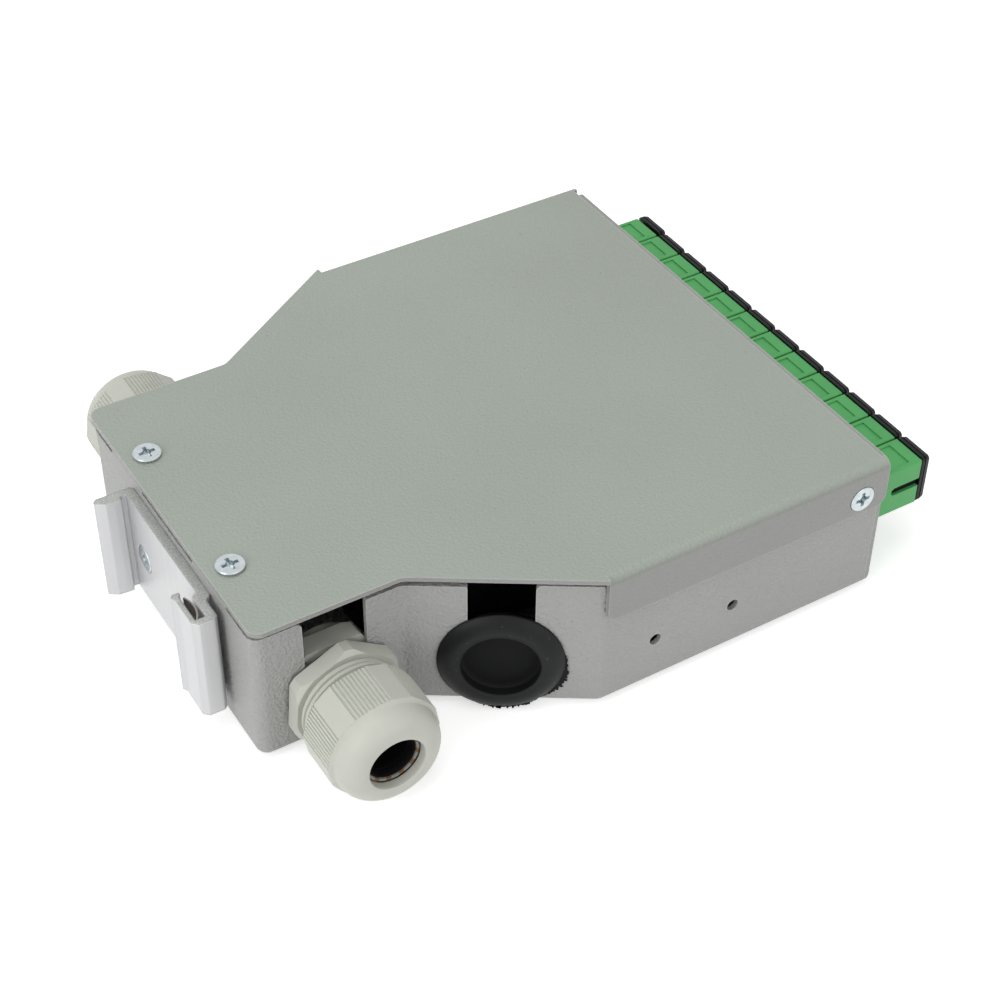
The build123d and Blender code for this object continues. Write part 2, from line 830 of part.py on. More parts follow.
# Adapter: a rectangular tube with a port at each end and shoulders behind the front wall
adapter_end = front_x + adapter_out
adapter_start = adapter_end - adapter_length
adapter_middle = adapter_end - adapter_length / 2
shoulder_front = front_x - sheet
shoulder_rear = shoulder_front - shoulder
with BuildPart() as adapter:
    with BuildSketch(Plane.YZ.offset(adapter_start)):
        with Locations((0, adapter_z)):
            RectangleRounded(adapter_width, adapter_height, adapter_edge_r)
    extrude(amount=adapter_length)
    with BuildSketch(Plane.YZ.offset(shoulder_rear)):
        with Locations((0, adapter_z)):
            Rectangle(adapter_width, adapter_height + 2 * shoulder_height)
    extrude(amount=shoulder)
    # Shallow panels in the top and bottom faces
    for up in (1, -1):
        with BuildSketch(Plane.XY.offset(adapter_z + up * (adapter_height / 2 - panel_recess))):
            for start, end in (
                (adapter_start + recess_end_rim, shoulder_rear - recess_end_rim),
                (front_x + recess_side_rim, adapter_end - recess_end_rim),
            ):
                with Locations(((start + end) / 2, 0)):
                    Rectangle(end - start, adapter_width - 2 * recess_side_rim)
        extrude(amount=up * 2 * panel_recess, mode=Mode.SUBTRACT)
    # Ports
    for end_x, inward in ((adapter_end, -1), (adapter_start, 1)):
        with BuildSketch(Plane.YZ.offset(end_x)):
            with Locations((0, adapter_z)):
                Rectangle(port_width, port_height)
        extrude(amount=inward * port_depth, mode=Mode.SUBTRACT)
        with BuildSketch(Plane.XZ.offset(port_width / 2)):
            with Locations((end_x + inward * key_length / 2, adapter_z)):
                Rectangle(key_length, key_width)
            with Locations((end_x + inward * key_length, adapter_z)):
                Circle(key_width / 2)
        extrude(amount=adapter_width, mode=Mode.SUBTRACT)
    # Barrel for the alignment sleeve, with a small lip at each end
    with BuildSketch(Plane.YZ.offset(adapter_middle)):
        with Locations((0, adapter_z)):
            Circle(barrel_r)
    extrude(amount=barrel_length / 2, both=True)
    with BuildSketch(Plane.YZ.offset(adapter_middle)):
        with Locations((0, adapter_z)):
            Circle(sleeve_lip_r)
    extrude(amount=barrel_length, both=True, mode=Mode.SUBTRACT)
    with BuildSketch(Plane.YZ.offset(adapter_middle)):
        with Locations((0, adapter_z)):
            Circle(sleeve_r + sleeve_play)
    extrude(amount=barrel_length / 2 - sleeve_lip, both=True, mode=Mode.SUBTRACT)

# Dust cap: a grooved flange over the adapter's mouth and a hollow boss inside it
cap_z = adapter_z + cap_lift
cap_start = adapter_end + cap_seat
cap_groove_end = cap_start + cap_plate + cap_groove
with BuildPart() as dust_cap:
    with BuildSketch(Plane.YZ.offset(cap_start)):
        with Locations((0, cap_z)):
            RectangleRounded(cap_width, cap_height, cap_corner_r)
    extrude(amount=cap_plate)
    with BuildSketch(Plane.YZ.offset(cap_start)):
        with Locations((0, cap_z)):
            RectangleRounded(
                cap_width - 2 * cap_groove_depth,
                cap_height - 2 * cap_groove_depth,
                cap_corner_r,
            )
    extrude(amount=cap_flange)
    for height, inset in ((cap_groove_end, 0), (cap_start + cap_flange, cap_face_inset)):
        with BuildSketch(Plane.YZ.offset(height)):
            with Locations((0, cap_z)):
                RectangleRounded(cap_width - 2 * inset, cap_height - 2 * inset, cap_corner_r)
    loft()
    with BuildSketch(Plane.YZ.offset(cap_start)):
        with Locations((0, adapter_z)):
            Rectangle(port_width - 2 * cap_boss_play, port_height - 2 * cap_boss_play)
    extrude(amount=-cap_boss_length)
    with BuildSketch(Plane.YZ.offset(cap_start - cap_boss_length)):
        with Locations((0, adapter_z)):
            Circle(cap_boss_bore_r)
    extrude(amount=cap_boss_bore, mode=Mode.SUBTRACT)

for number in range(ports):
    with BuildPart() as row_adapter:
        with Locations((0, port_y(number), 0)):
            add(adapter.part)
    save(row_adapter, f"adapter_{number + 1:02d}")
    cap_out = last_cap_out if number == ports - 1 else 0
    with BuildPart() as row_cap:
        with Locations((cap_out, port_y(number), 0)):
            add(dust_cap.part)
    save(row_cap, f"dust_cap_{number + 1:02d}")

# Alignment sleeves, one in each adapter's barrel
with BuildPart() as sleeves:
    with BuildSketch(Plane.YZ.offset(adapter_middle)):
        with Locations((0, adapter_z)):
            with GridLocations(port_pitch, 1, ports, 1):
                Circle(sleeve_r)
                Circle(sleeve_bore_r, mode=Mode.SUBTRACT)
    extrude(amount=barrel_length / 2 - sleeve_lip - sleeve_play, both=True)
save(sleeves, "alignment_sleeves")

# Retainer plate that holds the adapters' shoulders against the front wall
with BuildPart() as adapter_retainer:
    with BuildSketch(Plane.YZ.offset(shoulder_rear - retainer)):
        with Locations((0, adapter_z)):
            Rectangle(
                2 * (wide_half - sheet - retainer_play),
                adapter_height + 2 * window_play + 2 * retainer_rim,
            )
            Rectangle(window_width, adapter_height + 2 * window_play, mode=Mode.SUBTRACT)
        with Locations(*stud_places):
            Circle(stud_r + screw_play, mode=Mode.SUBTRACT)
    extrude(amount=retainer)
save(adapter_retainer, "adapter_retainer")

with BuildPart() as retainer_nuts:
    with BuildSketch(Plane.YZ.offset(shoulder_rear - retainer)):
        with Locations(*stud_places):
            RegularPolygon(stud_nut_af / 2, 6, major_radius=False)
            Circle(stud_r, mode=Mode.SUBTRACT)
    extrude(amount=-nut_height)
save(retainer_nuts, "retainer_nuts")

# Splice tray on four spacers, with fibre gaps in its end walls
tray_z = floor_z + spacer
tray_middle = rear_x + tray_x + tray_length / 2
with BuildPart() as splice_tray:
    with BuildSketch(Plane.XY.offset(tray_z)):
        with Locations((tray_middle, 0)):
            RectangleRounded(tray_length, 2 * tray_half, tray_corner_r)
    extrude(amount=tray_depth)
    with BuildSketch(Plane.XY.offset(tray_z + tray_wall)):
        with Locations((tray_middle, 0)):
            RectangleRounded(
                tray_length - 2 * tray_wall,
                2 * (tray_half - tray_wall),
                tray_corner_r - tray_wall,
            )
    extrude(amount=tray_depth, mode=Mode.SUBTRACT)
    with BuildSketch(Plane.XY.offset(tray_z + 2 * tray_wall)):
        with Locations((tray_middle, 0)):
            with GridLocations(tray_length, 2 * tray_gap_y, 2, 2):
                Rectangle(4 * tray_wall, tray_gap)
    extrude(amount=tray_depth, mode=Mode.SUBTRACT)
    with Locations((tray_middle, 0, tray_z + tray_wall)):
        with GridLocations(tray_length - 2 * spacer_inset, 2 * (tray_half - spacer_inset), 2, 2):
            Hole(screw_r + tray_screw_play, depth=2 * tray_wall)
save(splice_tray, "splice_tray")

with BuildPart() as tray_cover:
    with BuildSketch(Plane.XY.offset(tray_z + tray_depth)):
        with Locations((tray_middle, 0)):
            RectangleRounded(tray_length, 2 * tray_half, tray_corner_r)
    extrude(amount=tray_lid)
save(tray_cover, "splice_tray_lid")

# Spacers and screws between the tray and the floor
with BuildPart() as tray_spacers:
    with BuildSketch(Plane.XY.offset(floor_z)):
        with Locations((tray_middle, 0)):
            with GridLocations(tray_length - 2 * spacer_inset, 2 * (tray_half - spacer_inset), 2, 2):
                Circle(spacer_r)
                Circle(screw_r, mode=Mode.SUBTRACT)
    extrude(amount=spacer)
save(tray_spacers, "tray_spacers")

with BuildPart() as tray_screws:
    with BuildSketch(Plane.XY.offset(tray_z + tray_wall)):
        with Locations((tray_middle, 0)):
            with GridLocations(tray_length - 2 * spacer_inset, 2 * (tray_half - spacer_inset), 2, 2):
                Circle(tray_head_r)
    extrude(amount=tray_screw_head)
    with BuildSketch(Plane.XY.offset(tray_z + tray_wall)):
        with Locations((tray_middle, 0)):
            with GridLocations(tray_length - 2 * spacer_inset, 2 * (tray_half - spacer_inset), 2, 2):
                Circle(screw_r)
    extrude(amount=-tray_wall - spacer)
save(tray_screws, "tray_screws")

# Splice holder: soft fins that grip the splice sleeves
with BuildPart() as splice_holder:
    with BuildSketch(Plane.XY.offset(tray_z + tray_wall)):
        with Locations((tray_middle, 0)):
            Rectangle(holder_width, holder_length)
    extrude(amount=holder_base)
    with BuildSketch(Plane.XY.offset(tray_z + tray_wall + holder_base)):
        with Locations((tray_middle, 0)):
            with GridLocations((holder_width - holder_fin) / (holder_fins - 1), 1, holder_fins, 1):
                Rectangle(holder_fin, holder_length)
    extrude(amount=holder_height)
save(splice_holder, "splice_holder")
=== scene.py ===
import math
import random
import bmesh
import bpy
from mathutils import Matrix, Vector


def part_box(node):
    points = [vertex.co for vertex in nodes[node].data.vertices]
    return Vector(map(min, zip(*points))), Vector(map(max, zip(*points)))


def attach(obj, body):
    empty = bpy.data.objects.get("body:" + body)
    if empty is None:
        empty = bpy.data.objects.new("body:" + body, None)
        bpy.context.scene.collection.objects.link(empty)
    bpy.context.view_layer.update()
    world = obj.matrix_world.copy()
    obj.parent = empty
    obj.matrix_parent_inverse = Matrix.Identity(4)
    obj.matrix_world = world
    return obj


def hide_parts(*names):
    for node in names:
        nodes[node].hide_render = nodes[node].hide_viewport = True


# DIN rail fibre box: finishes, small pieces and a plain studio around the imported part
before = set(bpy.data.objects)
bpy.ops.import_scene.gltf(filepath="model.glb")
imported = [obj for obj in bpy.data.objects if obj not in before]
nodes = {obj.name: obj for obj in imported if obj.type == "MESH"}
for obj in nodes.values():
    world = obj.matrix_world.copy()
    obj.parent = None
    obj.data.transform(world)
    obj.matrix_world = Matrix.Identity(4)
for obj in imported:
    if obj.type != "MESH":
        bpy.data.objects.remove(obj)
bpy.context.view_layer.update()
mm = 0.001
sides = {"near": -1, "far": 1}
caseLow, caseHigh = (Vector(corner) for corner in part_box("base_tray"))
# foot of the middle of the rear wall
caseSeat = Vector((caseLow.x, (caseLow.y + caseHigh.y) / 2, caseLow.z))

camera = {
    "place": (-109.61, -311.85, 327.39),  # mm from the middle of the rear wall's foot
    "azimuth": -31.817,
    "elevation": 41.281,
    "roll": 0.637,
    "lens": 73.28,
    "sensor": 36.0,
    "clip": (0.01, 20),  # m
}
studio = {  # lamps: place and size in m, power in W
    "floorSize": 4.0,  # m
    "floorColour": (0.90, 0.90, 0.90),
    "floorRoughness": 0.9,
    "floorGlow": 0.55,
    "backdrop": 1.0,  # how bright the camera sees the world
    "worldLight": 0.42,
    "target": (0, 0, 0.02),  # m, what the lamps point at
    "key": {"place": (-0.25, 0.05, 1.1), "size": 1.0, "power": 4.2, "tint": (0.96, 1.0, 0.95)},
    "side": {"place": (-1.0, -0.3, 0.5), "size": 0.8, "power": 3.9, "tint": (1.0, 0.985, 0.99)},
    "front": {"place": (0.25, -1.1, 0.4), "size": 1.0, "power": 2.5, "tint": (1.0, 0.965, 0.985)},
}


def linear(red, green, blue):
    # screen colour 0-255 to the linear values of a shader
    def channel(value):
        value = value / 255
        return value / 12.92 if value <= 0.04045 else ((value + 0.055) / 1.055) ** 2.4
    return (channel(red), channel(green), channel(blue), 1.0)


def newMaterial(name):
    material = bpy.data.materials.new(name)
    material.use_nodes = True
    tree = material.node_tree
    return material, tree.nodes, tree.links, tree.nodes["Principled BSDF"]


def addNoise(tree, links, coords, scale, detail=2.0, roughness=0.5, distortion=0.0):
    texture = tree.new("ShaderNodeTexNoise")
    texture.inputs["Scale"].default_value = scale
    texture.inputs["Detail"].default_value = detail
    texture.inputs["Roughness"].default_value = roughness
    texture.inputs["Distortion"].default_value = distortion
    links.new(coords.outputs["Object"], texture.inputs["Vector"])
    return texture


def addRamp(tree, links, source, stops):
    ramp = tree.new("ShaderNodeValToRGB")
    ramp.color_ramp.elements[0].position = stops[0][0]
    ramp.color_ramp.elements[0].color = stops[0][1]
    ramp.color_ramp.elements[1].position = stops[-1][0]
    ramp.color_ramp.elements[1].color = stops[-1][1]
    for position, colour in stops[1:-1]:
        ramp.color_ramp.elements.new(position).color = colour
    links.new(source, ramp.inputs["Fac"])
    return ramp


def addMix(tree, links, factor, first, second):
    # second is another node's output, or one colour
    mix = tree.new("ShaderNodeMix")
    mix.data_type = "RGBA"
    links.new(factor, mix.inputs["Factor"])
    links.new(first, mix.inputs["A"])
    if isinstance(second, tuple):
        mix.inputs["B"].default_value = second
    else:
        links.new(second, mix.inputs["B"])
    return mix.outputs["Result"]


def addMath(tree, links, operation, first, second=None):
    node = tree.new("ShaderNodeMath")
    node.operation = operation
    links.new(first, node.inputs[0])
    if second:
        links.new(second, node.inputs[1])
    return node


def addSoftEdge(tree, radius, samples=4):
    bevel = tree.new("ShaderNodeBevel")
    bevel.samples = samples
    bevel.inputs["Radius"].default_value = radius * mm
    return bevel


def addStep(tree, links, source, low, high):
    # 0 at low, 1 at high, straight between them
    step = tree.new("ShaderNodeMapRange")
    step.inputs["From Min"].default_value = low
    step.inputs["From Max"].default_value = high
    links.new(source, step.inputs["Value"])
    return step.outputs["Result"]


def shade(colour, amount):
    return tuple(min(1.0, c * amount) for c in colour[:3]) + (1.0,)


def addBump(tree, links, height, strength, depth, before=None):
    bump = tree.new("ShaderNodeBump")
    bump.inputs["Strength"].default_value = strength
    bump.inputs["Distance"].default_value = depth * mm
    links.new(height, bump.inputs["Height"])
    if before:
        links.new(before.outputs["Normal"], bump.inputs["Normal"])
    return bump


# Powder coat on the folded sheet: pebbled skin, small specks, a painted highlight on the edges and, on the
# cover, painted shade along the fold
paint = {
    "caseColour": (169, 170, 168),
    "coverColour": (166, 173, 164),
    # colour of the painted highlight along the edges
    "edgeHighlight": (206, 209, 205),
    "edgeWidth": 0.35,  # mm
    "edgeTurn": (0.995, 0.90),  # cosine of the turn of the surface where the edge begins and is full
    "drift": 22.0,  # cells per metre, as are the next three
    "specks": 900.0,
    "pebbles": 1450.0,
    "fine": 3600.0,
    "driftShare": 0.03,
    "speckShade": 0.6,
    "speckRange": (0.165, 0.20),  # noise below the first is speck, above the second is paint
    "caseRelief": 0.66,
    "coverRelief": 0.4,
    "fineRelief": 0.4,  # share of the relief that the fine grain takes
    "depth": 0.6,  # mm, of the pebbles at full relief
    "fineDepth": 0.2,
    "roughness": 0.46,
    "gloss": 0.45,
    # painted shade and a painted tint of the light on the cover's fold and lip, by how far the surface
    # faces up
    "lip": [
        (0.0, (0.84, 0.78, 0.845, 1)), (0.10, (0.83, 0.78, 0.83, 1)), (0.34, (0.74, 0.72, 0.73, 1)),
        (0.72, (0.92, 0.93, 0.92, 1)), (0.95, (1, 1, 1, 1)),
    ],
}
noiseRange = (0.3, 0.7)  # most of a noise texture lies in it


def spread(base, low, high, ends=noiseRange):
    return [(ends[0], shade(base, low)), (ends[1], shade(base, high))]


def paintFoldShade(tree, links, coords, painted):
    # painted shade: darkens and tints the fold and lip by how far the surface faces up
    upright = tree.new("ShaderNodeSeparateXYZ")
    links.new(coords.outputs["Normal"], upright.inputs["Vector"])
    lip = addRamp(tree, links, upright.outputs["Z"], paint["lip"])
    shadedColour = tree.new("ShaderNodeMix")
    shadedColour.data_type = "RGBA"
    shadedColour.blend_type = "MULTIPLY"
    shadedColour.inputs["Factor"].default_value = 1.0
    links.new(painted, shadedColour.inputs["A"])
    links.new(lip.outputs["Color"], shadedColour.inputs["B"])
    return shadedColour.outputs["Result"]


def powderCoat(name, colour, relief, withFoldShade=False):
    material, tree, links, shader = newMaterial(name)
    coords = tree.new("ShaderNodeTexCoord")
    base = linear(*colour)
    drift = addNoise(tree, links, coords, paint["drift"])
    drifted = addRamp(
        tree, links, drift.outputs["Fac"],
        spread(base, 1 - paint["driftShare"], 1 + paint["driftShare"]),
    )
    # painted highlight: a lighter colour on the edges, where the surface turns over a corner
    softEdge = addSoftEdge(tree, paint["edgeWidth"])
    geometry = tree.new("ShaderNodeNewGeometry")
    dot = tree.new("ShaderNodeVectorMath")
    dot.operation = "DOT_PRODUCT"
    links.new(softEdge.outputs["Normal"], dot.inputs[0])
    links.new(geometry.outputs["Normal"], dot.inputs[1])
    edge = addStep(tree, links, dot.outputs["Value"], *paint["edgeTurn"])
    painted = addMix(tree, links, edge, drifted.outputs["Color"], linear(*paint["edgeHighlight"]))
    # dark specks in the paint
    specks = addNoise(tree, links, coords, paint["specks"], 1.0)
    low, high = paint["speckRange"]
    mask = addRamp(tree, links, specks.outputs["Fac"], [(low, (1, 1, 1, 1)), (high, (0, 0, 0, 1))])
    painted = addMix(tree, links, mask.outputs["Color"], painted, shade(base, paint["speckShade"]))
    # painted shade along the cover's fold and lip
    if withFoldShade:
        painted = paintFoldShade(tree, links, coords, painted)
    links.new(painted, shader.inputs["Base Color"])
    pebbles = addNoise(tree, links, coords, paint["pebbles"], 1.0, 0.4)
    fine = addNoise(tree, links, coords, paint["fine"])
    first = addBump(tree, links, pebbles.outputs["Fac"], relief, paint["depth"])
    fineRelief = relief * paint["fineRelief"]
    second = addBump(tree, links, fine.outputs["Fac"], fineRelief, paint["fineDepth"], first)
    links.new(second.outputs["Normal"], shader.inputs["Normal"])
    shader.inputs["Roughness"].default_value = paint["roughness"]
    shader.inputs["Specular IOR Level"].default_value = paint["gloss"]
    return material


# Plastics and rubbers: grain in cells per metre, round in mm, how far the edges look rounded
plastics = {
    "nylon": {
        "colour": (203, 204, 195), "roughness": 0.42, "grain": 1500.0, "relief": 0.05,
        "glow": 0.1, "drift": 0.02, "round": 0.08, "gloss": 0.35,
    },
    "green": {
        "colour": (88, 178, 103), "roughness": 0.42, "grain": 2400.0, "relief": 0.1,
        "glow": 0.1, "drift": 0.04, "round": 0.25, "gloss": 0.35,
    },
    "capBlack": {
        "colour": (20, 22, 24), "roughness": 0.42, "grain": 2200.0, "relief": 0.15,
        "glow": 0.0, "drift": 0.1, "round": 0.12, "gloss": 0.2,
    },
    "plugBlack": {
        "colour": (21, 22, 23), "roughness": 0.46, "grain": 1800.0, "relief": 0.2,
        "glow": 0.0, "drift": 0.15, "round": 0.4, "gloss": 0.2,
    },
    "trayBlack": {
        "colour": (40, 40, 41), "roughness": 0.55, "grain": 1500.0, "relief": 0.15,
        "glow": 0.0, "drift": 0.05, "round": 0.3, "gloss": 0.3,
    },
    "sealBlack": {
        "colour": (14, 14, 15), "roughness": 0.6, "grain": 1500.0, "relief": 0.15,
        "glow": 0.0, "drift": 0.05, "round": 0.2, "gloss": 0.15,
    },
    "sealBrown": {
        "colour": (142, 108, 72), "roughness": 0.55, "grain": 1500.0, "relief": 0.1,
        "glow": 0.0, "drift": 0.08, "round": 0.1, "gloss": 0.3,
    },
    # the gland's nylon made darker for the claw tips: painted shade in the mouth of the nut
    "clawNylonShade": {
        "colour": (150, 150, 144), "roughness": 0.5, "grain": 1500.0, "relief": 0.05,
        "glow": 0.0, "drift": 0.05, "round": 0.1, "gloss": 0.3,
    },
    "ceramic": {
        "colour": (235, 235, 230), "roughness": 0.2, "grain": 1500.0, "relief": 0.02,
        "glow": 0.0, "drift": 0.01, "round": 0.1, "gloss": 0.5,
    },
}
moulding = {
    "drift": 160.0,  # cells per metre
    "grainDepth": 0.08,  # mm
    "glowReach": (0.003, 0.003, 0.0025),  # m that light travels in a pale plastic
    "dust": 1400.0,  # cells per metre
    "dustRange": (0.74, 0.78),
    "dustColour": (150, 150, 148),
}


def plastic(name, dust=0.0):
    kind = plastics[name]
    material, tree, links, shader = newMaterial(name)
    coords = tree.new("ShaderNodeTexCoord")
    base = linear(*kind["colour"])
    drift = addNoise(tree, links, coords, moulding["drift"], 3.0)
    drifted = addRamp(tree, links, drift.outputs["Fac"], spread(base, 1 - kind["drift"], 1 + kind["drift"]))
    colour = drifted.outputs["Color"]
    if dust:
        # pale grains of dust that stick to the rubber
        grains = addNoise(tree, links, coords, moulding["dust"], 1.0)
        low, high = moulding["dustRange"]
        most = (dust, dust, dust, 1)
        mask = addRamp(tree, links, grains.outputs["Fac"], [(low, (0, 0, 0, 1)), (high, most)])
        colour = addMix(tree, links, mask.outputs["Color"], colour, linear(*moulding["dustColour"]))
    links.new(colour, shader.inputs["Base Color"])
    grain = addNoise(tree, links, coords, kind["grain"])
    softEdge = addSoftEdge(tree, kind["round"])
    bump = addBump(tree, links, grain.outputs["Fac"], kind["relief"], moulding["grainDepth"], softEdge)
    links.new(bump.outputs["Normal"], shader.inputs["Normal"])
    shader.inputs["Roughness"].default_value = kind["roughness"]
    shader.inputs["Specular IOR Level"].default_value = kind["gloss"]
    if kind["glow"]:
        shader.inputs["Subsurface Weight"].default_value = kind["glow"]
        shader.inputs["Subsurface Radius"].default_value = moulding["glowReach"]
    return material


# Rubber of the blanking plugs: the floor of the recess is duller than the swollen ring, and darker as
# painted shade in the deep recess
plugRecess = {
    "place": (52.41, -51.82, 12.6),  # mm from the middle of the rear wall's foot
    "slant": 32.57,  # degrees that the wall turns from the length of the case
    "shade": 0.55,
    "from": 9.2,  # mm from the plug's axis
    "to": 8.2,
    "roughness": 0.8,
    "dust": 0.14,
}


def plugRubber():
    material = plastic("plugBlack", dust=plugRecess["dust"])
    tree, links = material.node_tree.nodes, material.node_tree.links
    shader = tree["Principled BSDF"]
    coords = tree.new("ShaderNodeTexCoord")
    # the far plug is the near one mirrored in the middle of the case
    shift = tree.new("ShaderNodeVectorMath")
    shift.operation = "SUBTRACT"
    shift.inputs[1].default_value = caseSeat
    links.new(coords.outputs["Object"], shift.inputs[0])
    split = tree.new("ShaderNodeSeparateXYZ")
    links.new(shift.outputs["Vector"], split.inputs["Vector"])
    mirror = addMath(tree, links, "ABSOLUTE", split.outputs["Y"])
    join = tree.new("ShaderNodeCombineXYZ")
    links.new(split.outputs["X"], join.inputs["X"])
    links.new(mirror.outputs["Value"], join.inputs["Y"])
    links.new(split.outputs["Z"], join.inputs["Z"])
    x, y, z = plugRecess["place"]
    arm = tree.new("ShaderNodeVectorMath")
    arm.operation = "SUBTRACT"
    arm.inputs[1].default_value = (x * mm, -y * mm, z * mm)
    links.new(join.outputs["Vector"], arm.inputs[0])
    slant = math.radians(plugRecess["slant"])
    cross = tree.new("ShaderNodeVectorMath")
    cross.operation = "CROSS_PRODUCT"
    cross.inputs[1].default_value = (-math.sin(slant), math.cos(slant), 0)
    links.new(arm.outputs["Vector"], cross.inputs[0])
    away = tree.new("ShaderNodeVectorMath")
    away.operation = "LENGTH"
    links.new(cross.outputs["Vector"], away.inputs[0])
    inside = addStep(tree, links, away.outputs["Value"], plugRecess["from"] * mm, plugRecess["to"] * mm)
    ring = shader.inputs["Base Color"].links[0].from_socket
    # painted shade on the floor of the recess, inside the swollen ring
    recessShade = shade(linear(*plastics["plugBlack"]["colour"]), plugRecess["shade"])
    links.new(addMix(tree, links, inside, ring, recessShade), shader.inputs["Base Color"])
    dull = tree.new("ShaderNodeMapRange")
    dull.inputs["To Min"].default_value = plastics["plugBlack"]["roughness"]
    dull.inputs["To Max"].default_value = plugRecess["roughness"]
    links.new(inside, dull.inputs["Value"])
    links.new(dull.outputs["Result"], shader.inputs["Roughness"])
    return material


# Metals
metals = {
    "zinc": {"colour": (200, 208, 211), "roughness": 0.28},
    "springSteel": {"colour": (150, 146, 138), "roughness": 0.32},
    "stain": 900.0,  # cells per metre
    "stainShades": (0.86, 1.05),
    "stainRelief": 0.12,
    "stainDepth": 0.05,  # mm
}


def metal(name):
    kind = metals[name]
    material, tree, links, shader = newMaterial(name)
    coords = tree.new("ShaderNodeTexCoord")
    stain = addNoise(tree, links, coords, metals["stain"], 3.0)
    base = linear(*kind["colour"])
    stained = addRamp(tree, links, stain.outputs["Fac"], spread(base, *metals["stainShades"]))
    links.new(stained.outputs["Color"], shader.inputs["Base Color"])
    bump = addBump(tree, links, stain.outputs["Fac"], metals["stainRelief"], metals["stainDepth"])
    links.new(bump.outputs["Normal"], shader.inputs["Normal"])
    shader.inputs["Metallic"].default_value = 1.0
    shader.inputs["Roughness"].default_value = kind["roughness"]
    return material


# Rail clip: bright drawn faces, and grey sawn ends with the saw's marks
clip = {
    "faceColour": (207, 207, 209),
    "sawnColour": (178, 180, 177),
    "round": 0.6,  # mm, how far its long edges look rounded
    "sawnFrom": (0.8, 0.95),  # how far up or down a face looks where it starts to be sawn, and is
    "sawMarks": 3200.0,  # cells per metre
    "sawRange": (0.35, 0.65),
    "sawShades": (0.75, 1.3),
    "sawRelief": 0.5,
    "sawDepth": 0.1,  # mm
    "drawn": (900.0, 900.0, 12.0),  # cells per metre across and along the section
    "drawnShades": (0.975, 1.015),
    "drawnRelief": 0.05,
    "drawnDepth": 0.05,  # mm
    "metallic": 0.45,
    "roughness": 0.42,
}


def clipAluminium():
    material, tree, links, shader = newMaterial("clipAluminium")
    coords = tree.new("ShaderNodeTexCoord")
    split = tree.new("ShaderNodeSeparateXYZ")
    links.new(coords.outputs["Normal"], split.inputs["Vector"])
    upright = addMath(tree, links, "ABSOLUTE", split.outputs["Z"])
    sawn = addStep(tree, links, upright.outputs["Value"], *clip["sawnFrom"])
    marks = addNoise(tree, links, coords, clip["sawMarks"], 3.0, 0.7)
    rough = addRamp(
        tree, links, marks.outputs["Fac"],
        spread(linear(*clip["sawnColour"]), *clip["sawShades"], clip["sawRange"]),
    )
    stretch = tree.new("ShaderNodeMapping")
    stretch.inputs["Scale"].default_value = clip["drawn"]
    links.new(coords.outputs["Object"], stretch.inputs["Vector"])
    drawn = tree.new("ShaderNodeTexNoise")
    drawn.inputs["Scale"].default_value = 1.0
    drawn.inputs["Detail"].default_value = 3.0
    links.new(stretch.outputs["Vector"], drawn.inputs["Vector"])
    face = addRamp(
        tree, links, drawn.outputs["Fac"],
        spread(linear(*clip["faceColour"]), *clip["drawnShades"]),
    )
    mixed = addMix(tree, links, sawn, face.outputs["Color"], rough.outputs["Color"])
    links.new(mixed, shader.inputs["Base Color"])
    height = addMath(tree, links, "MULTIPLY", marks.outputs["Fac"], sawn)
    rounded = addSoftEdge(tree, clip["round"], 6)
    first = addBump(tree, links, height.outputs["Value"], clip["sawRelief"], clip["sawDepth"], rounded)
    second = addBump(tree, links, drawn.outputs["Fac"], clip["drawnRelief"], clip["drawnDepth"], first)
    links.new(second.outputs["Normal"], shader.inputs["Normal"])
    shader.inputs["Metallic"].default_value = clip["metallic"]
    shader.inputs["Roughness"].default_value = clip["roughness"]
    return material


finishes = {
    "case": powderCoat("casePaint", paint["caseColour"], paint["caseRelief"]),
    "cover": powderCoat("coverPaint", paint["coverColour"], paint["coverRelief"], withFoldShade=True),
    "zinc": metal("zinc"),
    "spring": metal("springSteel"),
    "clip": clipAluminium(),
    "nylon": plastic("nylon"),
    "green": plastic("green"),
    "cap": plastic("capBlack"),
    "plug": plugRubber(),
    "tray": plastic("trayBlack"),
    "seal": plastic("sealBlack"),
    "brown": plastic("sealBrown"),
    # painted shade: the claw tips are the gland's nylon made darker
    "claw": plastic("clawNylonShade"),
    "ceramic": plastic("ceramic"),
}
print("finishes made")

# Which finish each node of the part takes
wears = {
    "base_tray": "case", "adapter_retainer": "case", "top_cover": "cover",
    "cover_screws": "zinc", "cover_nuts": "zinc", "clip_screws": "zinc", "clip_nuts": "zinc",
    "retainer_nuts": "zinc", "tray_screws": "zinc", "din_clip": "clip", "clip_leaf_spring": "spring",
    "gland_body": "nylon", "gland_dome_nut": "nylon", "gland_locknut": "nylon",
    "gland_washer": "seal", "gland_seal": "seal", "blanking_plug": "plug",
    "adapter": "green", "dust_cap": "cap", "alignment_sleeves": "ceramic",
    "splice_tray": "tray", "splice_tray_lid": "tray", "splice_holder": "tray", "tray_spacers": "tray",
}
for name, node in nodes.items():
    family = name
    while family not in wears:
        family = family.rsplit("_", 1)[0]
    node.data.materials.clear()
    node.data.materials.append(finishes[wears[family]])
print("part dressed:", len(nodes), "nodes")


sharpFrom = 32  # degrees between two faces that meet in a sharp edge


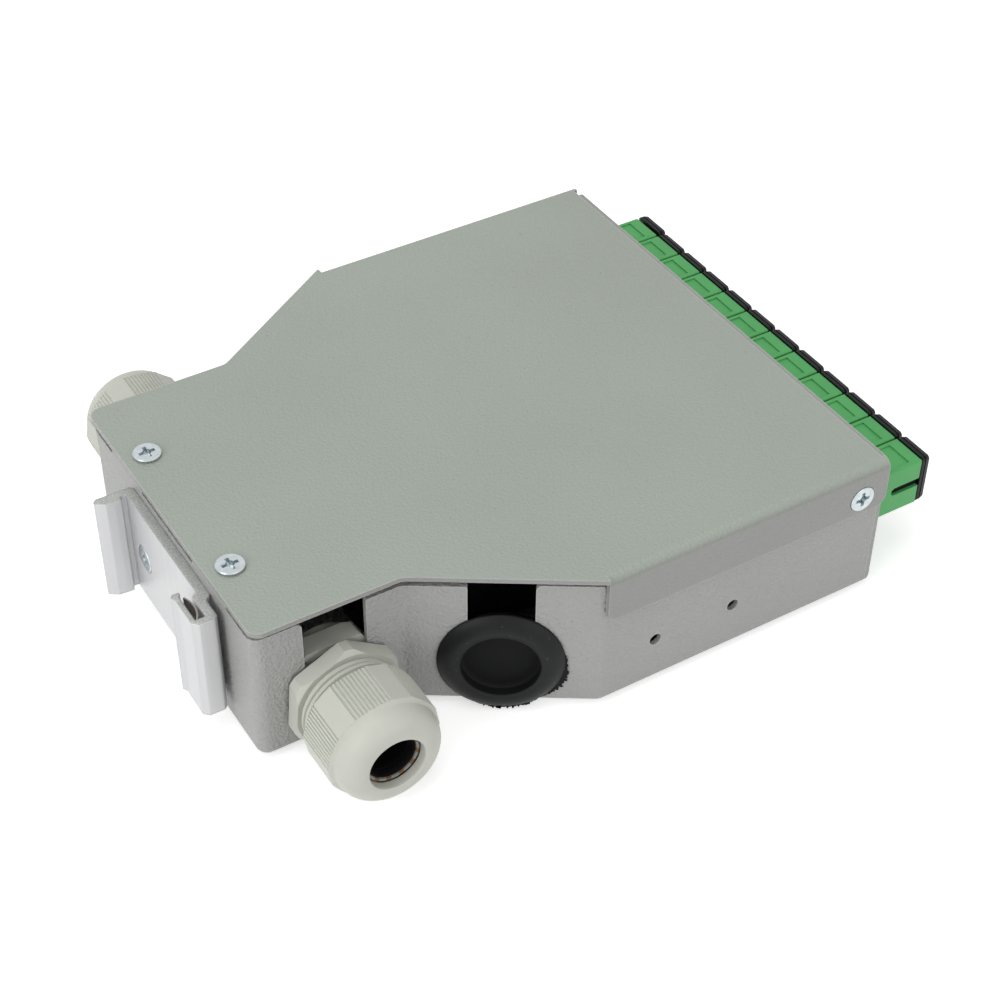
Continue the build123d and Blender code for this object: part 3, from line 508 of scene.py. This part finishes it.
def addPiece(name, points, faces, finish, body="root"):
    mesh = bpy.data.meshes.new(name)
    mesh.from_pydata([tuple(point) for point in points], [], faces)
    shell = bmesh.new()
    shell.from_mesh(mesh)
    bmesh.ops.recalc_face_normals(shell, faces=shell.faces)
    shell.to_mesh(mesh)
    shell.free()
    mesh.shade_smooth()
    mesh.set_sharp_from_angle(angle=math.radians(sharpFrom))
    mesh.materials.append(finish)
    piece = bpy.data.objects.new(name, mesh)
    bpy.context.scene.collection.objects.link(piece)
    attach(piece, body)
    return piece


def gridFaces(rows, columns):
    # faces of a ring that closes both round its axis and round its section
    faces = []
    for row in range(rows):
        ahead = (row + 1) % rows
        for column in range(columns):
            beside = (column + 1) % columns
            faces.append((
                row * columns + column, row * columns + beside,
                ahead * columns + beside, ahead * columns + column,
            ))
    return faces


# Cable glands: places on them are given by radius, angle and distance out from the wall, in mm
glandWasher = 0.6  # mm thick


def glandSeat(side):
    low, high = (Vector(corner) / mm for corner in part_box("gland_washer_" + side))
    way = sides[side]
    wall = max(way * low.y, way * high.y) - glandWasher
    return (low.x + high.x) / 2, (low.z + high.z) / 2, wall, way


def onGland(seat, radius, angle, out):
    x, z, wall, way = seat
    along, up = way * radius * math.cos(angle), radius * math.sin(angle)
    return Vector((x - along, way * (wall + out), z + up)) * mm


def nutStart(side):
    # mm from the wall to the dome nut's inner end
    wall, way = glandSeat(side)[2:]
    low, high = (Vector(corner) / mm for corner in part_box("gland_dome_nut_" + side))
    return min(way * low.y, way * high.y) - wall


# Thread that shows between a gland's hexagon and its dome nut
thread = {
    "pitch": 1.45,  # mm
    "radius": 10.9,
    "crest": 0.7,
    "foot": 0.66,  # half width of the ridge where it stands
    "top": 0.4,
    "first": 5.35,  # from the wall to the middle of the first ridge
    "fade": 0.2,  # turns over which the ridge runs out
    "least": 0.02,  # share of the crest where it has run out
    "sunk": 0.1,  # mm that its foot stands in the tube
    "room": 0.1,  # mm left before the nut
    "turn": 0.6,  # radians to where it begins
    "steps": 72,  # sections in one turn
}


def glandThread(side):
    seat = glandSeat(side)
    turns = (nutStart(side) - thread["foot"] - thread["room"] - thread["first"]) / thread["pitch"]
    count = int(turns * thread["steps"])
    foot = thread["radius"] - thread["sunk"]
    points, faces = [], []
    for step in range(count + 1):
        turn = turns * step / count
        rise = min(1.0, turn / thread["fade"], (turns - turn) / thread["fade"])
        out = thread["first"] + thread["pitch"] * turn
        crest = thread["radius"] + thread["crest"] * max(rise, thread["least"])
        angle = 2 * math.pi * turn + thread["turn"]
        ridge = (
            (foot, -thread["foot"]), (crest, -thread["top"]),
            (crest, thread["top"]), (foot, thread["foot"]),
        )
        points += [onGland(seat, radius, angle, out + off) for radius, off in ridge]
    for step in range(count):
        for corner in range(4):
            after = (corner + 1) % 4
            faces.append((4 * step + corner, 4 * step + after, 4 * step + 4 + after, 4 * step + 4 + corner))
    faces += [(3, 2, 1, 0), (4 * count, 4 * count + 1, 4 * count + 2, 4 * count + 3)]
    addPiece("gland_thread_" + side, points, faces, finishes["nylon"])


# Dome nut: six ribbed faces with a smooth flat between each two, and a full dome
domeNut = {
    "length": 17.0,  # mm
    "face": 12.5,  # from the axis to the middle of a ribbed face, if it were flat
    "swell": 13.1,  # the ribbed faces swell halfway to this radius
    "corner": 12.9,  # from the axis to the smooth flats
    "sides": 6,
    "faceHalf": 19.2,  # degrees from the middle of a ribbed face to its edge
    "flatSteps": 8,
    "turn": 40.0,  # degrees to the middle of the first ribbed face
    "ribs": 10,
    "ribPitch": 0.84,
    "ribGap": 0.22,
    "ribSlope": 0.12,
    "ribDepth": 0.34,
    # mm from the start of the nut, mm that the edge drops, share of the ribs' depth
    "rings": [(0.0, 0.25, 1.0), (0.25, 0.0, 1.0), (5.0, 0.0, 1.0), (10.8, 0.0, 1.0), (11.2, 0.0, 0.0)],
    "shoulder": (11.55, 12.4),  # mm from the start and the most radius just before the dome
    "domeStart": 11.9,
    "domeRadius": 12.15,
    "domeSteps": 14,
    "fullness": 0.78,  # below 1 the dome is fuller than a quarter of an ellipse
    "lip": 6.9,
    # mouth and inside, as mm from the start and radius
    "inside": [(16.87, 6.58), (16.55, 6.45), (14.9, 6.45), (13.9, 8.8), (5.6, 11.0), (0.0, 11.0)],
}


def ribSpots(nut):
    # degrees from the middle of a ribbed face, and 1 in the grooves between the ribs
    half = nut["ribGap"] / 2
    groove = ((-half - nut["ribSlope"], 0.0), (-half, 1.0), (half, 1.0), (half + nut["ribSlope"], 0.0))
    spots = [(-nut["faceHalf"], 0.0)]
    for rib in range(nut["ribs"]):
        off = (rib - (nut["ribs"] - 1) / 2) * nut["ribPitch"]
        spots += [(math.degrees(math.asin((off + reach) / nut["face"])), depth) for reach, depth in groove]
    return spots + [(nut["faceHalf"], 0.0)]


def nutSection():
    # angle, radius of the crests and depth of the groove for every line along the nut
    nut = domeNut
    sector = 360 / nut["sides"]
    lines = []
    for face in range(nut["sides"]):
        middle = nut["turn"] + sector * face
        edge = nut["faceHalf"]
        for turn, depth in ribSpots(nut):
            flat = nut["face"] / math.cos(math.radians(turn))
            lines.append((math.radians(middle + turn), (flat + nut["swell"]) / 2, depth * nut["ribDepth"]))
        for part in range(1, nut["flatSteps"]):
            turn = edge + (sector - 2 * edge) * part / nut["flatSteps"]
            radius = nut["corner"] / math.cos(math.radians(turn - sector / 2))
            lines.append((math.radians(middle + turn), radius, 0.0))
    return lines


def domeProfile(nut):
    # mm from the start of the nut and radius, over the dome and back through the inside
    profile = []
    for step in range(nut["domeSteps"] + 1):
        turn = math.pi / 2 * step / nut["domeSteps"]
        rise = math.cos(turn) ** nut["fullness"] if step < nut["domeSteps"] else 0.0
        profile.append((
            nut["domeStart"] + (nut["length"] - nut["domeStart"]) * math.sin(turn),
            nut["lip"] + (nut["domeRadius"] - nut["lip"]) * rise,
        ))
    return profile + nut["inside"]


def glandNut(side):
    nut, seat, start = domeNut, glandSeat(side), nutStart(side)
    lines, profile = nutSection(), domeProfile(nut)
    points = []
    for out, drop, groove in nut["rings"]:
        points += [
            onGland(seat, radius - drop - groove * depth, angle, start + out)
            for angle, radius, depth in lines
        ]
    out, most = nut["shoulder"]
    points += [onGland(seat, min(radius, most), angle, start + out) for angle, radius, depth in lines]
    for out, radius in profile:
        points += [onGland(seat, radius, angle, start + out) for angle, size, depth in lines]
    rows = len(nut["rings"]) + 1 + len(profile)
    piece = addPiece(
        "gland_dome_nut_shell_" + side, points, gridFaces(rows, len(lines)),
        finishes["nylon"], "gland_nut_" + side,
    )
    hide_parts("gland_dome_nut_" + side)


# Claw tips that the near nut bends in over the seal, with the seal's brown outer layer between them; the
# claws wear a darker copy of the gland's nylon as painted shade in the nut's mouth
clawTips = {
    "count": 12,
    "turn": 26.0,  # degrees to where the first claw begins
    "gap": 11.5,  # degrees between two claws
    "seam": 1.0,  # degrees left on each side of a brown tab
    "steps": 5,
    "sealColumns": 96,
    # sections as mm from the wall and radius
    "section": [
        (21.6, 7.5), (22.7, 6.38), (23.5, 6.35), (23.7, 6.2), (23.6, 5.75), (22.7, 5.6), (21.6, 6.6),
    ],
    "brown": [(21.7, 7.1), (22.7, 6.3), (23.6, 6.3), (23.65, 5.7), (22.7, 5.62), (21.7, 6.5)],
    "seal": [(23.0, 5.25), (23.4, 5.45), (23.25, 5.6), (20.4, 6.3), (20.35, 5.25)],
}


def clawRing(name, section, start, sweep, finish):
    # one closed block on each claw's place, from start over sweep degrees
    seat = glandSeat("near")
    points, faces = [], []
    steps, size = clawTips["steps"], len(section)
    for claw in range(clawTips["count"]):
        first = len(points)
        begin = clawTips["turn"] + start + 360 * claw / clawTips["count"]
        for step in range(steps):
            angle = math.radians(begin + sweep * step / (steps - 1))
            points += [onGland(seat, radius, angle, out) for out, radius in section]
        for step in range(steps - 1):
            row = first + step * size
            for corner in range(size):
                after = (corner + 1) % size
                faces.append((row + corner, row + after, row + size + after, row + size + corner))
        last = first + (steps - 1) * size
        faces += [tuple(range(first + size - 1, first - 1, -1)), tuple(range(last, last + size))]
    addPiece(name, points, faces, finish)


def sealLip():
    seat, section, columns = glandSeat("near"), clawTips["seal"], clawTips["sealColumns"]
    points = [
        onGland(seat, radius, 2 * math.pi * column / columns, out)
        for out, radius in section for column in range(columns)
    ]
    faces = gridFaces(len(section), columns)
    addPiece("gland_seal_lip_near", points, faces, finishes["seal"])


for side in sides:
    glandThread(side)
    glandNut(side)
clawSweep = 360 / clawTips["count"] - clawTips["gap"]
tabSweep = clawTips["gap"] - 2 * clawTips["seam"]
clawRing("gland_claw_tips_near", clawTips["section"], 0, clawSweep, finishes["claw"])
clawRing(
    "gland_seal_tabs_near", clawTips["brown"], clawSweep + clawTips["seam"], tabSweep,
    finishes["brown"],
)
sealLip()
print("glands dressed")

# Ragged flash left on the rim of the near blanking plug
flash = {
    "rim": 13.9,  # mm
    "under": 0.3,
    "thick": 0.25,
    "stand": 0.1,
    "floorGap": 0.05,
    "bendFrom": 0.1,  # mm inside the rim where the part over the floor may bend
    "from": -112,  # degrees round the rim, 0 towards the front of the box
    "to": 8,
    "steps": 220,
    "toothSteps": 3,
    "tooth": 0.45,  # share of the reach that the teeth add or take
    "ragged": 0.09,  # mm
    "raggedFrom": 4.0,  # how fast the small teeth grow with the reach
    "least": 0.02,
    "seed": 11,
    # mm that it stands out, evenly spaced round the rim
    "reach": [0.2, 0.5, 0.7, 0.7, 0.6, 0.1, 0.7, 1.4, 1.0, 0.5, 0.2],
}


def flashSizes():
    # mm that the flash stands out of the rim, step by step
    wild = random.Random(flash["seed"])
    tooth, spans, sizes = 0.0, len(flash["reach"]) - 1, []
    for step in range(flash["steps"] + 1):
        share = step / flash["steps"]
        if step % flash["toothSteps"] == 0:
            tooth = wild.uniform(-1.0, 1.0)
        span = min(spans - 1, int(share * spans))
        blend = share * spans - span
        size = flash["reach"][span] * (1 - blend) + flash["reach"][span + 1] * blend
        ragged = flash["ragged"] * wild.uniform(-1, 1) * min(1.0, flash["raggedFrom"] * size)
        sizes.append(max(flash["least"], size * (1 + flash["tooth"] * tooth) + ragged))
    return sizes


def plugFlash():
    slant = math.radians(plugRecess["slant"])
    along = Vector((math.cos(slant), -math.sin(slant), 0))
    out = Vector((-math.sin(slant), -math.cos(slant), 0))
    seat = caseSeat + Vector(plugRecess["place"]) * mm
    points, faces = [], []
    for step, size in enumerate(flashSizes()):
        angle = math.radians(flash["from"] + (flash["to"] - flash["from"]) * step / flash["steps"])
        reach = flash["rim"] + size
        # where it would reach into the floor it is bent out along it
        limit = reach
        if angle < 0:
            limit = (seat.z / mm - flash["floorGap"]) / max(0.001, -math.sin(angle))
        bent = max(0.0, reach - max(limit, flash["rim"] - flash["bendFrom"]))
        way = along * math.cos(angle) + Vector((0, 0, math.sin(angle)))
        for radius, lean in ((flash["rim"] - flash["under"], 0.0), (reach - bent, bent)):
            for height in (flash["stand"], flash["stand"] + flash["thick"]):
                points.append(seat + (radius * way + out * (height + lean)) * mm)
    for step in range(flash["steps"]):
        low, high = 4 * step, 4 * step + 4
        faces += [
            (low, low + 2, high + 2, high), (low + 1, high + 1, high + 3, low + 3),
            (low + 2, low + 3, high + 3, high + 2), (low, high, high + 1, low + 1),
        ]
    end = 4 * flash["steps"]
    faces += [(0, 1, 3, 2), (end, end + 2, end + 3, end + 1)]
    addPiece("plug_flash_near", points, faces, finishes["seal"])


plugFlash()
print("flash added")


def addCamera():
    azimuth, elevation, roll = (math.radians(camera[k]) for k in ("azimuth", "elevation", "roll"))
    ahead = Vector((
        -math.sin(azimuth) * math.cos(elevation),
        math.cos(azimuth) * math.cos(elevation),
        -math.sin(elevation),
    ))
    level = Vector((math.cos(azimuth), math.sin(azimuth), 0))
    above = level.cross(ahead)
    right = math.cos(roll) * level + math.sin(roll) * above
    up = -math.sin(roll) * level + math.cos(roll) * above
    data = bpy.data.cameras.new("camera")
    data.lens = camera["lens"]
    data.sensor_width = camera["sensor"]
    data.sensor_fit = "HORIZONTAL"
    data.clip_start, data.clip_end = camera["clip"]
    seat = bpy.data.objects.new("camera", data)
    stand = caseSeat + Vector(camera["place"]) * mm
    seat.matrix_world = Matrix.Translation(stand) @ Matrix((right, up, -ahead)).transposed().to_4x4()
    bpy.context.scene.collection.objects.link(seat)
    bpy.context.scene.camera = seat


def addLamp(name, kind):
    data = bpy.data.lights.new(name, "AREA")
    data.shape = "DISK"
    data.size = kind["size"]
    data.energy = kind["power"]
    data.color = kind["tint"]
    lamp = bpy.data.objects.new(name, data)
    lamp.location = kind["place"]
    lamp.rotation_euler = (Vector(studio["target"]) - lamp.location).to_track_quat("-Z", "Y").to_euler()
    bpy.context.scene.collection.objects.link(lamp)


def cameraSees(tree, links):
    # 1 for what the camera sees directly, in a mirror or through glass, 0 for light that only bounces
    path = tree.new("ShaderNodeLightPath")
    first = addMath(tree, links, "MAXIMUM", path.outputs["Is Camera Ray"], path.outputs["Is Glossy Ray"])
    return addMath(tree, links, "MAXIMUM", first.outputs["Value"], path.outputs["Is Transmission Ray"])


def addFloor():
    half = studio["floorSize"] / 2
    mesh = bpy.data.meshes.new("floor")
    corners = [(-half, -half, 0), (half, -half, 0), (half, half, 0), (-half, half, 0)]
    mesh.from_pydata(corners, [], [(0, 1, 2, 3)])
    floor = bpy.data.objects.new("floor", mesh)
    bpy.context.scene.collection.objects.link(floor)
    material, tree, links, shader = newMaterial("floorPaper")
    shader.inputs["Base Color"].default_value = (*studio["floorColour"], 1)
    shader.inputs["Roughness"].default_value = studio["floorRoughness"]
    shader.inputs["Specular IOR Level"].default_value = 0.0
    glow = tree.new("ShaderNodeEmission")
    switch = addMath(tree, links, "MULTIPLY", cameraSees(tree, links).outputs["Value"])
    switch.inputs[1].default_value = studio["floorGlow"]
    links.new(switch.outputs["Value"], glow.inputs["Strength"])
    both = tree.new("ShaderNodeAddShader")
    links.new(shader.outputs["BSDF"], both.inputs[0])
    links.new(glow.outputs["Emission"], both.inputs[1])
    links.new(both.outputs["Shader"], tree["Material Output"].inputs["Surface"])
    floor.data.materials.append(material)


def addWorld():
    world = bpy.data.worlds.new("studio")
    bpy.context.scene.world = world
    world.use_nodes = True
    tree, links = world.node_tree.nodes, world.node_tree.links
    strength = tree.new("ShaderNodeMapRange")
    strength.inputs["To Min"].default_value = studio["worldLight"]
    strength.inputs["To Max"].default_value = studio["backdrop"]
    links.new(cameraSees(tree, links).outputs["Value"], strength.inputs["Value"])
    background = tree["Background"]
    background.inputs["Color"].default_value = (1, 1, 1, 1)
    links.new(strength.outputs["Result"], background.inputs["Strength"])


addCamera()
addFloor()
addWorld()
for name in ("key", "side", "front"):
    addLamp(name, studio[name])
bpy.context.scene.view_settings.view_transform = "Standard"
print("studio set")
